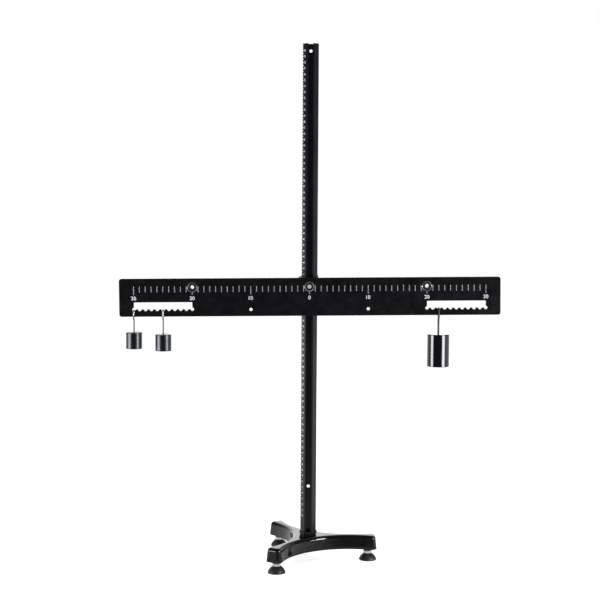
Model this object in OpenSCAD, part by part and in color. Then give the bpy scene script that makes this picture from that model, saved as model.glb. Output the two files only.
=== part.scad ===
// Classroom lever apparatus: a graduated beam rocks on an axle through a grooved post on a cast tripod.
// Millimetres, +Z up. The origin is on the floor under the post's axis, the front faces -Y.

/* [Tripod base] */
// Radius of the circle through the three levelling feet
foot_circle_r = 104.5; // [95:0.5:125]
// Length of a leg beyond the centre of its foot
leg_overhang = 15.5; // [13:0.5:20]
// Width of a leg at its waist, at the underside
leg_waist_w = 19; // [18:0.5:24]
// Least distance from the post's axis to a concave side
hub_r = 29.5; // [28:0.5:33]
// Radius of the upright corners at the end of a leg
leg_corner_r = 9; // [8.5:0.25:11]
// Height of the casting
base_h = 24; // [21:0.5:32]
// Inward lean of the sides, from bottom to top
side_draft = 2; // [0.5:0.25:2.5]
// Radius of the rolled top edge
rim_r = 6; // [3:0.25:6]
// Wall round the cored underside
core_wall = 6; // [4:0.25:7]
// Depth of the cored underside
core_depth = 12; // [9:0.5:14]
// Diameter of the solid block kept round each levelling stud
boss_d = 24; // [20:0.5:28]

/* [Levelling feet] */
// Diameter of the pad on the floor
pad_d = 30; // [26:0.5:36]
// Height of the pad
pad_h = 11.8; // [10:0.1:16]
// Height of the pad's upright lip
pad_lip_h = 1.6; // [1.4:0.1:3]
// Diameter of the pad's flat top
pad_neck_d = 14; // [13:0.5:18]
// Depth of the stud's socket in the pad
pad_socket = 9; // [5:0.1:9.5]
// Diameter of the levelling stud
stud_d = 8; // [6:0.5:10]
// Length of stud inside the casting
stud_engage = 15; // [10:0.5:16]
// Free depth above the stud in its hole
stud_room = 2.5; // [2:0.1:3]
// Width across the flats of the adjusting nut
nut_af = 13; // [12:0.5:17]
// Height of the adjusting nut
nut_h = 6.2; // [4:0.1:8]
// Gap between the nut and the casting
nut_gap = 2; // [1.5:0.1:6]

/* [Post] */
// Width of the post across its sides
post_w = 27; // [24:0.5:32]
// Depth of the post from front to back
post_depth = 26; // [24:0.5:32]
// Length of the post
post_len = 847; // [600:1:1000]
// Width that a bevelled corner takes from the front
bevel_w = 6.7; // [4:0.1:7]
// Depth that a bevelled corner takes from the side
bevel_depth = 7; // [4:0.1:8]
// Width of the grooves down the front and the back
groove_w = 8.4; // [8:0.1:9]
// Thickness of the web between the two grooves
web_t = 3; // [2.5:0.1:5]
// Diameter of the mounting holes through the post
post_hole_d = 5.5; // [5.4:0.1:7]
// Height of the post scale's zero mark above the floor
scale_zero_h = 79; // [70:1:95]
// Scale mark of the lower mounting hole
hole_mark_low = 50; // [30:10:150]
// Scale mark of the hole that carries the beam
hole_mark_beam = 400; // [300:10:420]
// Scale mark of the upper mounting hole
hole_mark_high = 800; // [500:10:800]
// Wall of the bead round the collar at the foot of the post
collar_wall = 1.8; // [1.5:0.1:3]
// Height of the collar's bead
collar_h = 3.4; // [2.5:0.1:6]
// Height of the plain skirt below the bead
collar_rise = 3.8; // [2:0.1:6]
// Wall of that skirt
collar_skirt = 0.6; // [0.5:0.1:1]
// Diameter of the screws that hold the post
post_screw_d = 6; // [4:0.5:6]
// Distance of those screws from the middle of the post
post_screw_x = 8.8; // [8.2:0.1:9]
// Length of those screws inside the post
post_screw_bite = 20; // [12:1:30]

/* [Fulcrum axle and knob] */
// Diameter of the axle's pin
axle_d = 6.5; // [6:0.1:8]
// Diameter of the threaded tail through the post
tail_d = 5; // [4:0.5:5]
// Diameter of the shoulder that seats on the post
shoulder_d = 13.5; // [12:0.5:20]
// Thickness of the shoulder
shoulder_t = 3; // [2:0.1:6]
// Width across the flats of the socket in the axle's end
axle_socket_af = 3; // [2.5:0.5:4]
// Mean radius of the lobed knob
knob_r = 22; // [18:0.5:28]
// Height of the knob's lobes, up and down from the mean
knob_lobe = 3; // [1:0.1:3.5]
// Number of lobes
knob_lobes = 4; // [3:1:7]
// Thickness of the knob's lobed grip
knob_grip_t = 14; // [11:0.5:20]
// Length of the knob's hub in front of the grip
knob_hub_h = 5; // [3:0.5:10]
// Diameter of the knob's hub
knob_hub_d = 20; // [16:0.5:24]
// Diameter of the knob's threaded insert
insert_d = 12; // [9:0.5:13]
// Length of the knob's threaded insert
insert_len = 13; // [10:0.5:14]
// Outer diameter of the washer under the knob
washer_d = 18; // [14:0.5:24]
// Thickness of the washer under the knob
washer_t = 1.6; // [1:0.1:3]

/* [Beam] */
// Length of the beam
beam_len = 650; // [640:5:800]
// Height of the beam
beam_h = 65; // [63:0.5:75]
// Thickness of the beam
beam_t = 6; // [4:0.5:9]
// Radius of the beam's corners
beam_corner_r = 4.5; // [1:0.25:6]
// Bevel along the beam's edges
beam_bevel = 0.7; // [0.3:0.1:1.2]
// Distance of the fulcrum holes below the top edge
pivot_drop = 15; // [13:0.5:16]
// Distance from the middle fulcrum hole to each outer one
fulcrum_step = 200; // [120:5:280]
// Tilt of the beam as it stands, right end up
beam_tilt = 0.7; // [-4:0.1:4]
// Diameter of the two small guide holes
guide_hole_d = 5.5; // [4:0.5:8]
// Distance of each guide hole from the middle
guide_hole_x = 100; // [60:5:170]
// Height of the guide holes above the bottom edge
guide_hole_rise = 11.5; // [8:0.5:16]

/* [Scalloped slots] */
// Distance from the middle to the first notch
notch_first = 200; // [150:5:210]
// Distance between notches
notch_pitch = 10; // [9.5:0.1:10.2]
// Number of notches in a slot
notch_count = 11; // [11:1:12]
// Radius of a notch
notch_r = 2.9; // [2.6:0.1:3.2]
// Radius of the tooth between two notches
tooth_r = 2.5; // [2.3:0.1:2.8]
// Distance from the beam's top edge to the bottom of a notch
notch_drop = 55.5; // [52:0.5:58]
// Distance from the beam's top edge to the top of a slot
slot_drop = 40.5; // [34:0.5:42]
// Radius of a slot's upper corners
slot_corner_r = 1.2; // [0.6:0.1:2]

/* [Ferrules and bushes] */
// Diameter of a ferrule's front flange
ferrule_flange_d = 17.5; // [16.5:0.1:22]
// Thickness of a ferrule's front flange
ferrule_flange_t = 1; // [0.6:0.1:2]
// Diameter of a ferrule's barrel
ferrule_d = 15.2; // [14.6:0.1:16]
// Length of a ferrule behind the beam
ferrule_rear = 8; // [5:0.5:20]
// Outer diameter of a bush
bush_d = 13.6; // [12.5:0.1:14]

/* [Weights and hooks] */
// Diameter of the two small weights
small_d = 27.5; // [20:0.5:30]
// Height of the two small weights
small_h = 28.3; // [20:0.1:40]
// Diameter of the large weight
large_d = 37.5; // [30:0.5:44]
// Height of the large weight
large_h = 55.5; // [45:0.5:70]
// Bevel round the ends of the weights
weight_bevel = 0.8; // [0.3:0.1:1.5]
// Diameter of the adjusting bore under the large weight
trim_bore_d = 24; // [12:0.5:25]
// Depth of the adjusting bore under the large weight
trim_bore_depth = 43; // [10:0.1:44]
// Diameter of the small weights' hook wire
wire_small_d = 2.4; // [1.6:0.1:3]
// Diameter of the large weight's hook wire
wire_large_d = 3.4; // [2:0.1:3.4]
// Radius of the hook's two upper bends, at the wire's centre
hook_bend_r = 2.4; // [2:0.1:4]
// Radius of the two bends that bring the shank back under the notch
hook_jog_r = 2; // [1.9:0.1:2.2]
// Length of wire inside a weight
hook_seat = 8; // [5:0.5:12]
// Notch of the outer small weight, counted from the slot's inner end
notch_outer = 10; // [9:1:10]
// Notch of the inner small weight, counted from the slot's inner end
notch_inner = 5; // [2:1:5]
// Notch of the large weight, counted from the slot's inner end
notch_large = 2; // [0:1:8]
// Distance from the notch to the top of the outer small weight
drop_outer = 36; // [32:0.5:60]
// Distance from the notch to the top of the inner small weight
drop_inner = 40; // [32:0.5:60]
// Distance from the notch to the top of the large weight
drop_large = 42; // [32:0.5:60]

/* [Clearances] */
// Radial play of a running fit
run_play = 0.05; // [0.02:0.01:0.1]
// Radial play of a part that is pressed or screwed in
seat_play = 0.03; // [0.02:0.01:0.05]
// End play of the beam on its axle
end_play = 0.3; // [0.2:0.05:0.6]
// Gap between a hook and the bottom of its notch
hook_gap = 0.1; // [0.05:0.01:0.2]

/* [Hidden] */
$fn = 64;

black_gloss = "#151517";
black_satin = "#1b1b1f";
black_rubber = "#2b2c30";
dark_chrome = "#2a2b30";
bright_zinc = "#c6c9ce";
bright_steel = "#b9bbbe";
brass_tone = "#b89a55";

// A cut runs this far past the face it opens
past = 1;
// Points along each kind of arc in an outline
side_steps = 9;
corner_steps = 7;
rim_steps = 6;
notch_steps = 8;

// Heights
base_z = pad_h + nut_h + nut_gap;
base_top = base_z + base_h;
post_top = base_top + post_len;
pivot_z = scale_zero_h + hole_mark_beam;

// Stations along the axle, towards the front from the post's axis
post_face = post_depth / 2;
groove_floor = web_t / 2;
groove_depth = post_face - groove_floor;
shoulder_face = post_face + shoulder_t;
ferrule_back = shoulder_face + end_play;
beam_back = ferrule_back + ferrule_rear;
beam_front = beam_back + beam_t;
ferrule_front = beam_front + ferrule_flange_t;
beam_mid = (beam_back + beam_front) / 2;
washer_face = post_face + washer_t;
insert_clear = 0.1;
knob_face = washer_face + insert_clear;
axle_point = 0.5;

// Feet, named by where they stand
angle_right = 0;
angle_rear = 120;
angle_front = 240;

// Fillet circle of a concave side, seen from a leg that lies along X
side_far = (hub_r - leg_waist_w / 2) / (1 - sin(60));
side_r = side_far - hub_r;
side_at = side_far * [cos(60), sin(60)];
core_corner_r = 3;
outer_corner = side_touching(foot_circle_r + leg_overhang - leg_corner_r, side_r + leg_corner_r);
core_corner = side_touching(foot_circle_r - boss_d / 2 - core_corner_r, side_r + core_wall + core_corner_r);

// Centre of a corner circle whose distance from the centre of the concave side is reach
function side_touching(x, reach) = [x, side_at.y - sqrt(pow(reach, 2) - pow(x - side_at.x, 2))];
function on_arc(centre, r, a) = centre + r * [cos(a), sin(a)];
function turned(p, a) = [p.x * cos(a) - p.y * sin(a), p.x * sin(a) + p.y * cos(a)];
function lifted(outline, z) = [for (p = outline) [p.x, p.y, z]];
function steps(from, to, n) = [for (i = [0 : n]) from + (to - from) * i / n];

// Half of a leg's outline, drawn in by inset: the concave side, then the corner at the leg's end
function half_leg(inset, corner, corner_r) =
    let (turn = atan2(side_at.y - corner.y, side_at.x - corner.x)) concat(
        [for (a = steps(-120, turn - 180, side_steps)) on_arc(side_at, side_r + inset, a)],
        [for (a = steps(turn, 0, corner_steps)) on_arc(corner, corner_r, a)]
    );
function backwards(list) = [for (i = [len(list) - 1 : -1 : 0]) list[i]];
function mirrored(outline) = [for (p = outline) [p.x, -p.y]];
// Drops the first point, and any point that repeats the one before it
function thinned(list) = [for (i = [1 : len(list) - 1]) if (norm(list[i] - list[i - 1]) > 0.001) list[i]];
function whole_leg(half) = thinned(concat(mirrored(half), backwards(half)));
function three_legs(leg) = [for (a = [0, 120, 240]) each [for (p = leg) turned(p, a)]];
function base_outline(inset) = three_legs(whole_leg(half_leg(inset, outer_corner, leg_corner_r - inset)));
function core_outline(inset) =
    three_legs(whole_leg(half_leg(inset, core_corner, core_corner_r + core_wall - inset)));
// Flat end of the casting: rungs across each leg, and a triangle between the legs
leg_n = 2 * (side_steps + corner_steps) + 1;
function leg_rungs(first, before) = concat(
    [[before, first, first + leg_n - 2, first + leg_n - 1]],
    [for (i = [0 : side_steps + corner_steps - 2])
        [first + i, first + i + 1, first + leg_n - 3 - i, first + leg_n - 2 - i]]
);
leg_cap = concat(
    [for (k = [0 : 2]) each leg_rungs(k * leg_n, (k + 2) % 3 * leg_n + leg_n - 1)],
    [[for (k = [1 : 3]) k * leg_n - 1]]
);

// Outline of the post, with every face moved out by grow
bevel_len = norm([bevel_w, bevel_depth]);
function post_quarter(grow) = [
    [post_w / 2 + grow, post_depth / 2 - bevel_depth + grow * (bevel_len - bevel_depth) / bevel_w],
    [post_w / 2 - bevel_w + grow * (bevel_len - bevel_w) / bevel_depth, post_depth / 2 + grow]
];
function post_back(grow) = let (q = post_quarter(grow)) [q[0], q[1], [-q[1].x, q[1].y], [-q[0].x, q[0].y]];
function post_outline(grow) = concat(post_back(grow), [for (p = post_back(grow)) -p]);
screw_roof = base_z + core_depth;
screw_head_h = 5;
screw_head_d = 1.6 * post_screw_d;

// Beam, measured from the pivot: up is positive
beam_upper = pivot_drop;
beam_lower = pivot_drop - beam_h;
slot_top = pivot_drop - slot_drop;
notch_low = pivot_drop - notch_drop;
notch_z = notch_low + notch_r;
tooth_fall = sqrt(pow(notch_r + tooth_r, 2) - pow(notch_pitch / 2, 2));
tooth_z = notch_z - tooth_fall;
flank = atan2(tooth_fall, notch_pitch / 2);
last_notch = notch_count - 1;
function notch_x(i) = notch_first + notch_pitch * i;
function notch_arc(i) = [
    for (a = steps(i == 0 ? 90 : 180 + flank, i == last_notch ? 450 : 360 - flank, notch_steps))
        on_arc([notch_x(i), notch_z], notch_r, a)
];
function tooth_arc(i) = [
    for (a = steps(180 - flank, flank, notch_steps))
        on_arc([notch_x(i) + notch_pitch / 2, tooth_z], tooth_r, a)
];
function slot_corner(x, from) = [
    for (a = steps(from, from + 90, 4)) on_arc([x, slot_top - slot_corner_r], slot_corner_r, a)
];
function slot_outline() = thinned(concat(
    slot_corner(notch_x(0) + slot_corner_r, 90),
    [for (i = [0 : last_notch]) each i < last_notch ? concat(notch_arc(i), tooth_arc(i)) : notch_arc(i)],
    slot_corner(notch_x(last_notch) - slot_corner_r, 0),
    [[notch_x(0) + slot_corner_r, slot_top]]
));
function round_box(x0, y0, x1, y1, r) = [
    for (c = [[x1 - r, y1 - r, 0], [x0 + r, y1 - r, 90], [x0 + r, y0 + r, 180], [x1 - r, y0 + r, 270]])
        each [for (a = steps(c[2], c[2] + 90, 5)) on_arc([c[0], c[1]], r, a)]
];
function bevel_box(half_x, half_y, cut) = [
    [half_x - cut, -half_y], [half_x, cut - half_y], [half_x, half_y - cut], [half_x - cut, half_y],
    [cut - half_x, half_y], [-half_x, half_y - cut], [-half_x, cut - half_y], [cut - half_x, -half_y]
];

// Hooks: the wire's run lies across the beam, above the notch
hook_leg = beam_t / 2 + 0.2 + hook_bend_r;
band_h = beam_h - notch_drop;
function hook_rise(wire) = wire / 2 + hook_gap;
function hook_at(x, wire) = let (up = notch_low + hook_rise(wire)) [
    x * cos(beam_tilt) - up * sin(beam_tilt),
    -beam_mid,
    pivot_z + x * sin(beam_tilt) + up * cos(beam_tilt)
];
outer_at = hook_at(-notch_x(notch_outer), wire_small_d);
inner_at = hook_at(-notch_x(notch_inner), wire_small_d);
large_at = hook_at(notch_x(notch_large), wire_large_d);

// Solid through a stack of outlines that have the same number of points; cap lists the flat ends' loops
module loft(rings, cap = []) {
    n = len(rings[0]);
    last = len(rings) - 1;
    ends = len(cap) > 0 ? cap : [[for (i = [0 : n - 1]) i]];
    polyhedron(
        points = [for (ring = rings) each ring],
        faces = concat(
            ends,
            [for (k = [0 : last - 1], i = [0 : n - 1])
                let (a = k * n + i, b = k * n + (i + 1) % n) [a, a + n, b + n, b]],
            [for (loop = ends) [for (i = backwards(loop)) last * n + i]]
        )
    );
}

module at_foot(angle) {
    rotate([0, 0, angle]) translate([foot_circle_r, 0, 0]) children();
}

// Turns a shape that stands along Z so that it points to the front
module to_front() {
    rotate([90, 0, 0]) children();
}

module on_axle() {
    translate([0, 0, pivot_z]) to_front() children();
}

module on_beam(x = 0) {
    translate([0, 0, pivot_z]) rotate([0, -beam_tilt, 0]) translate([x, 0, 0]) children();
}

// Turned ring between two radii and two stations, with its four edges broken
module ring(r_in, r_out, from, to, edge = 0.2) {
    rotate_extrude() polygon([
        [r_in + edge, from], [r_out - edge, from], [r_out, from + edge], [r_out, to - edge],
        [r_out - edge, to], [r_in + edge, to], [r_in, to - edge], [r_in, from + edge]
    ]);
}

// Cast tripod: concave drafted sides, rolled rim, underside cored up to the solid block over each stud
module tripod_base() {
    sole_break = 0.8;
    core_lean = 1.5;
    core_rings = [
        lifted(core_outline(core_wall + core_lean), core_depth),
        lifted(core_outline(core_wall), 0)
    ];
    sole_rings = [
        lifted(base_outline(sole_break), 0),
        lifted(base_outline(0), sole_break)
    ];
    rim_rings = [
        for (a = steps(0, 90, rim_steps))
            lifted(base_outline(side_draft + rim_r * (1 - cos(a))), base_h - rim_r * (1 - sin(a)))
    ];
    color(black_gloss) difference() {
        translate([0, 0, base_z]) loft(concat(core_rings, sole_rings, rim_rings), leg_cap);
        for (angle = [angle_right, angle_rear, angle_front])
            at_foot(angle) translate([0, 0, base_z - past])
                cylinder(d = stud_d + 2 * run_play, h = stud_engage + stud_room + past);
        for (side = [-1, 1])
            translate([side * post_screw_x, 0, screw_roof - past])
                cylinder(d = post_screw_d + 2 * seat_play, h = base_h - core_depth + 2 * past);
    }
}

// Extruded bar: bevelled corners, and grooves down the front and the back with a thin web between them
module upright_post() {
    color(black_satin) difference() {
        translate([0, 0, base_top]) linear_extrude(post_len) difference() {
            polygon(post_outline(0));
            for (face = [0, 180]) rotate(face)
                translate([-groove_w / 2, groove_floor]) square([groove_w, groove_depth + past]);
        }
        for (mark = [hole_mark_low, hole_mark_beam, hole_mark_high])
            translate([0, groove_floor + past, scale_zero_h + mark]) to_front()
                cylinder(d = post_hole_d, h = web_t + 2 * past);
        for (side = [-1, 1])
            translate([side * post_screw_x, 0, base_top - past])
                cylinder(d = post_screw_d + 2 * seat_play, h = post_screw_bite + past + 2);
    }
}

module post_collar() {
    shoulder = collar_wall / 2;
    top = collar_rise + collar_h;
    color(black_gloss) translate([0, 0, base_top]) difference() {
        loft([
            lifted(post_outline(collar_skirt), 0),
            lifted(post_outline(collar_skirt), collar_rise),
            lifted(post_outline(collar_wall), collar_rise + (collar_wall - collar_skirt) / 2),
            lifted(post_outline(collar_wall), top - shoulder),
            lifted(post_outline(collar_wall - shoulder), top)
        ]);
        translate([0, 0, -past]) linear_extrude(top + 2 * past) polygon(post_outline(2 * run_play));
    }
}

module post_screw(side) {
    color(bright_zinc) translate([side * post_screw_x, 0, screw_roof]) difference() {
        rotate_extrude() polygon([
            [0, -screw_head_h], [screw_head_d / 2 - 0.5, -screw_head_h],
            [screw_head_d / 2, 0.5 - screw_head_h], [screw_head_d / 2, 0], [post_screw_d / 2, 0],
            [post_screw_d / 2, base_h - core_depth + post_screw_bite - 1],
            [post_screw_d / 2 - 1, base_h - core_depth + post_screw_bite],
            [0, base_h - core_depth + post_screw_bite]
        ]);
        translate([0, 0, -screw_head_h - past]) cylinder(d = post_screw_d * 0.9, h = past + 2.5, $fn = 6);
    }
}
module post_screw_left() { post_screw(-1); }
module post_screw_right() { post_screw(1); }

// One turned piece: threaded tail, shank in the groove, shoulder on the post, running pin
module fulcrum_axle() {
    tail_end = knob_face + insert_len - 1.5;
    pin_end = ferrule_front + 0.4;
    shank_r = groove_w / 2 - 2 * run_play;
    color(bright_steel) on_axle() difference() {
        rotate_extrude() polygon([
            [0, -tail_end], [tail_d / 2 - 0.8, -tail_end], [tail_d / 2, 0.8 - tail_end],
            [tail_d / 2, groove_floor], [shank_r, groove_floor], [shank_r, post_face],
            [shoulder_d / 2 - 0.3, post_face], [shoulder_d / 2, post_face + 0.3],
            [shoulder_d / 2, shoulder_face - 0.3], [shoulder_d / 2 - 0.3, shoulder_face],
            [axle_d / 2, shoulder_face], [axle_d / 2, pin_end - axle_point],
            [axle_d / 2 - axle_point, pin_end], [0, pin_end]
        ]);
        translate([0, 0, pin_end - 3]) cylinder(d = axle_socket_af / cos(30), h = 3 + past, $fn = 6);
    }
}

module axle_washer() {
    color(bright_zinc) on_axle() ring(tail_d / 2 + 0.2, washer_d / 2, -washer_face, -post_face);
}

// Lobed hand knob: straight hub, then a grip whose outline swells and closes in a dome
module clamp_knob() {
    grip_from = knob_face + knob_hub_h;
    grip_to = grip_from + knob_grip_t;
    grip_profile = [[0.86, 0], [0.96, 0.1], [1, 0.25], [1, 0.7], [0.95, 0.86], [0.85, 0.95], [0.7, 1]];
    function lobed(k) = [
        for (i = [0 : 71])
            let (a = -5 * i, swell = knob_lobe * cos(knob_lobes * (a + 72)))
                k * (knob_r + swell) * [cos(a), sin(a)]
    ];
    color(black_satin) on_axle() difference() {
        union() {
            mirror([0, 0, 1]) translate([0, 0, knob_face]) cylinder(d = knob_hub_d, h = knob_hub_h + 2);
            rotate([180, 0, 0]) loft([
                for (step = grip_profile)
                    lifted(backwards(lobed(step[0])), grip_from + step[1] * knob_grip_t)
            ]);
        }
        mirror([0, 0, 1]) translate([0, 0, knob_face - past])
            cylinder(d = insert_d + 2 * seat_play, h = insert_len + past);
    }
}

module knob_insert() {
    color(brass_tone) on_axle() ring(
        tail_d / 2 + run_play, insert_d / 2, 0.1 - knob_face - insert_len, -knob_face
    );
}

// Beam: bevelled plate with two scalloped slots, three fulcrum holes and two guide holes
module beam_plate() {
    mid_z = (beam_upper + beam_lower) / 2;
    color(black_satin) on_beam() difference() {
        intersection() {
            translate([0, -beam_back, 0]) to_front() linear_extrude(beam_t)
                polygon(round_box(-beam_len / 2, beam_lower, beam_len / 2, beam_upper, beam_corner_r));
            translate([0, -beam_mid, beam_lower - past]) linear_extrude(beam_h + 2 * past)
                polygon(bevel_box(beam_len / 2, beam_t / 2, beam_bevel));
            translate([-beam_len / 2 - past, -beam_mid, mid_z]) rotate([90, 0, 90])
                linear_extrude(beam_len + 2 * past) polygon(bevel_box(beam_t / 2, beam_h / 2, beam_bevel));
        }
        for (side = [0, 1]) mirror([side, 0, 0])
            translate([0, past - beam_back, 0]) to_front() linear_extrude(beam_t + 2 * past)
                polygon(slot_outline());
        for (x = [-fulcrum_step, 0, fulcrum_step])
            translate([x, past - beam_back, 0]) to_front()
                cylinder(d = ferrule_d + 2 * seat_play, h = beam_t + 2 * past);
        for (x = [-guide_hole_x, guide_hole_x])
            translate([x, past - beam_back, beam_lower + guide_hole_rise]) to_front()
                cylinder(d = guide_hole_d, h = beam_t + 2 * past);
    }
}

module ferrule(x) {
    bore_r = bush_d / 2 + seat_play;
    color(bright_zinc) on_beam(x) to_front() rotate_extrude() polygon([
        [bore_r, ferrule_back], [ferrule_d / 2 - 0.3, ferrule_back], [ferrule_d / 2, ferrule_back + 0.3],
        [ferrule_d / 2, beam_front], [ferrule_flange_d / 2, beam_front],
        [ferrule_flange_d / 2, ferrule_front - 0.4], [ferrule_flange_d / 2 - 0.4, ferrule_front],
        [bore_r + 0.3, ferrule_front], [bore_r, ferrule_front - 0.3]
    ]);
}
module ferrule_left() { ferrule(-fulcrum_step); }
module ferrule_centre() { ferrule(0); }
module ferrule_right() { ferrule(fulcrum_step); }

module bush(x) {
    color(black_rubber) on_beam(x) to_front()
        ring(axle_d / 2 + run_play, bush_d / 2, ferrule_back, ferrule_front - 0.4, 0.25);
}
module bush_left() { bush(-fulcrum_step); }
module bush_centre() { bush(0); }
module bush_right() { bush(fulcrum_step); }

// Wire hook, drawn flat and stood across the beam: rear tip, run in the notch, front leg, jog, shank
module hook(drop, wire) {
    end = hook_rise(wire) + drop + hook_seat - 0.2;
    tip = hook_rise(wire) + band_h + 1.6;
    front = hook_rise(wire) + band_h + 2;
    jog_end = front + 2 * hook_jog_r;
    reach = hook_leg - hook_bend_r;
    color(bright_steel) rotate([90, 0, 90]) {
        translate([hook_leg, -tip, 0]) rotate([-90, 0, 0]) cylinder(d = wire, h = tip - hook_bend_r);
        translate([reach, -hook_bend_r, 0]) wire_bend(hook_bend_r, wire);
        translate([-reach, 0, 0]) rotate([0, 90, 0]) cylinder(d = wire, h = 2 * reach);
        translate([-reach, -hook_bend_r, 0]) rotate([0, 0, 90]) wire_bend(hook_bend_r, wire);
        translate([-hook_leg, -front, 0]) rotate([-90, 0, 0]) cylinder(d = wire, h = front - hook_bend_r);
        translate([hook_jog_r - hook_leg, -front, 0]) rotate([0, 0, 180]) wire_bend(hook_jog_r, wire);
        translate([hook_jog_r - hook_leg, -front - hook_jog_r, 0]) rotate([0, 90, 0])
            cylinder(d = wire, h = hook_leg - 2 * hook_jog_r);
        translate([-hook_jog_r, -jog_end, 0]) wire_bend(hook_jog_r, wire);
        translate([0, -end, 0]) rotate([-90, 0, 0]) cylinder(d = wire, h = end - jog_end);
    }
}
module wire_bend(r, wire) {
    rotate_extrude(angle = 90) translate([r, 0]) circle(d = wire, $fn = 24);
}
module hook_outer() { translate(outer_at) hook(drop_outer, wire_small_d); }
module hook_inner() { translate(inner_at) hook(drop_inner, wire_small_d); }
module hook_large() { translate(large_at) hook(drop_large, wire_large_d); }

// Turned weight that hangs below its hook
module weight(d, h, drop, wire, bore_d = 0, bore_depth = 0) {
    b = weight_bevel;
    top = -hook_rise(wire) - drop;
    color(dark_chrome) difference() {
        rotate_extrude() polygon([
            [0, top - h], [d / 2 - b, top - h], [d / 2, top - h + b],
            [d / 2, top - b], [d / 2 - b, top], [0, top]
        ]);
        translate([0, 0, top - hook_seat]) cylinder(d = wire + 2 * seat_play, h = hook_seat + past);
        if (bore_d > 0) translate([0, 0, top - h - past]) cylinder(d = bore_d, h = bore_depth + past);
    }
}
module weight_outer() { translate(outer_at) weight(small_d, small_h, drop_outer, wire_small_d); }
module weight_inner() { translate(inner_at) weight(small_d, small_h, drop_inner, wire_small_d); }
module weight_large() {
    translate(large_at) weight(large_d, large_h, drop_large, wire_large_d, trim_bore_d, trim_bore_depth);
}

// Domed pad: an upright lip, then a shoulder that curves in to the flat top
module foot_pad(angle) {
    neck = pad_neck_d / 2;
    foot = pad_d / 2;
    dome = 50;
    color(black_rubber) at_foot(angle) difference() {
        rotate_extrude() polygon(concat(
            [[0, 0], [foot - 0.6, 0], [foot, 0.6]],
            [for (a = steps(0, dome, 6)) [
                foot - (foot - neck) * (1 - cos(a)) / (1 - cos(dome)),
                pad_lip_h + (pad_h - pad_lip_h) * sin(a) / sin(dome)
            ]],
            [[0, pad_h]]
        ));
        translate([0, 0, pad_h - pad_socket]) cylinder(d = stud_d + 2 * run_play, h = pad_socket + past);
    }
}

module foot_stud(angle) {
    low = pad_h - pad_socket + 0.2;
    high = base_z + stud_engage;
    color(bright_zinc) at_foot(angle) rotate_extrude() polygon([
        [0, low], [stud_d / 2 - 0.8, low], [stud_d / 2, low + 0.8],
        [stud_d / 2, high - 0.8], [stud_d / 2 - 0.8, high], [0, high]
    ]);
}

// Hexagon with both faces turned to a cone
module foot_nut(angle) {
    corner = nut_af / sqrt(3);
    face = nut_af / 2 - 0.2;
    fall = (corner - face) * tan(30);
    color(bright_zinc) at_foot(angle) translate([0, 0, pad_h]) difference() {
        intersection() {
            cylinder(r = corner, h = nut_h, $fn = 6);
            rotate_extrude() polygon([
                [0, 0.1], [face, 0.1], [corner + 0.1, fall + 0.1],
                [corner + 0.1, nut_h - fall], [face, nut_h], [0, nut_h]
            ]);
        }
        translate([0, 0, -past]) cylinder(d = stud_d + 2 * seat_play, h = nut_h + 2 * past);
    }
}
module foot_pad_right() { foot_pad(angle_right); }
module foot_stud_right() { foot_stud(angle_right); }
module foot_nut_right() { foot_nut(angle_right); }
module foot_pad_rear() { foot_pad(angle_rear); }
module foot_stud_rear() { foot_stud(angle_rear); }
module foot_nut_rear() { foot_nut(angle_rear); }
module foot_pad_front() { foot_pad(angle_front); }
module foot_stud_front() { foot_stud(angle_front); }
module foot_nut_front() { foot_nut(angle_front); }

tripod_base();
upright_post();
post_collar();
post_screw_left();
post_screw_right();
fulcrum_axle();
axle_washer();
clamp_knob();
knob_insert();
beam_plate();
ferrule_left();
ferrule_centre();
ferrule_right();
bush_left();
bush_centre();
bush_right();
weight_outer();
hook_outer();
weight_inner();
hook_inner();
weight_large();
hook_large();
foot_pad_right();
foot_stud_right();
foot_nut_right();
foot_pad_rear();
foot_stud_rear();
foot_nut_rear();
foot_pad_front();
foot_stud_front();
foot_nut_front();
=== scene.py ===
"""Looks of a classroom lever apparatus: a graduated beam on a grooved post, cast tripod, hooked weights."""
import math

import bpy
from mathutils import Matrix, Vector


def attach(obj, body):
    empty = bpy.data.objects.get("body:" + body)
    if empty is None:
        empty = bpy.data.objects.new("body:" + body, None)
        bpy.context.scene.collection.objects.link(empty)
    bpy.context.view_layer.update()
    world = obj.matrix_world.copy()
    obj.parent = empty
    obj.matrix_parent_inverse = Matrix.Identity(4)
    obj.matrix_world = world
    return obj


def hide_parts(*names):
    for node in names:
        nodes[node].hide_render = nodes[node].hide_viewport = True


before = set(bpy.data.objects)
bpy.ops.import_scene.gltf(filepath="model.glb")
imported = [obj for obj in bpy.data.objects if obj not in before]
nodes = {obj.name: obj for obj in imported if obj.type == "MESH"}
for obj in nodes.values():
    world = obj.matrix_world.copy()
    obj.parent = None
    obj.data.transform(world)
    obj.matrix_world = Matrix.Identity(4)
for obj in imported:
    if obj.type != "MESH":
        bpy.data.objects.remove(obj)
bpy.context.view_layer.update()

# Sizes and places of the part, in millimetres as a maker writes them; MM turns them into metres.
MM = 0.001

# Cast tripod
FOOT_CIRCLE = 104.5
FEET = {"right": 0.0, "rear": 120.0, "front": 240.0}
BASE_Z = 20.0
BASE_H = 24.0
LEG_REACH = FOOT_CIRCLE + 15.5
LEG_CORNER_R = 9.0
LEG_HALF_WAIST = 9.5
HUB_R = 29.5
SIDE_DRAFT = 2.0
RIM_R = 6.0
TOP_INSET = 8.4
TOE_R = 0.8
TOE_MIDDLE = 0.25
CORE_WALL = 6.0
CORE_DEPTH = 12.0
CORE_TAPER = 1.5
CORE_CORNER_R = 3.0
CORE_CORNER_X = 89.5

# Post, and where its scale begins
POST_W = 27.0
POST_DEPTH = 26.0
BEVEL_W = 6.7
BEVEL_DEPTH = 7.0
SCALE_ZERO = 79.0

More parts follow.
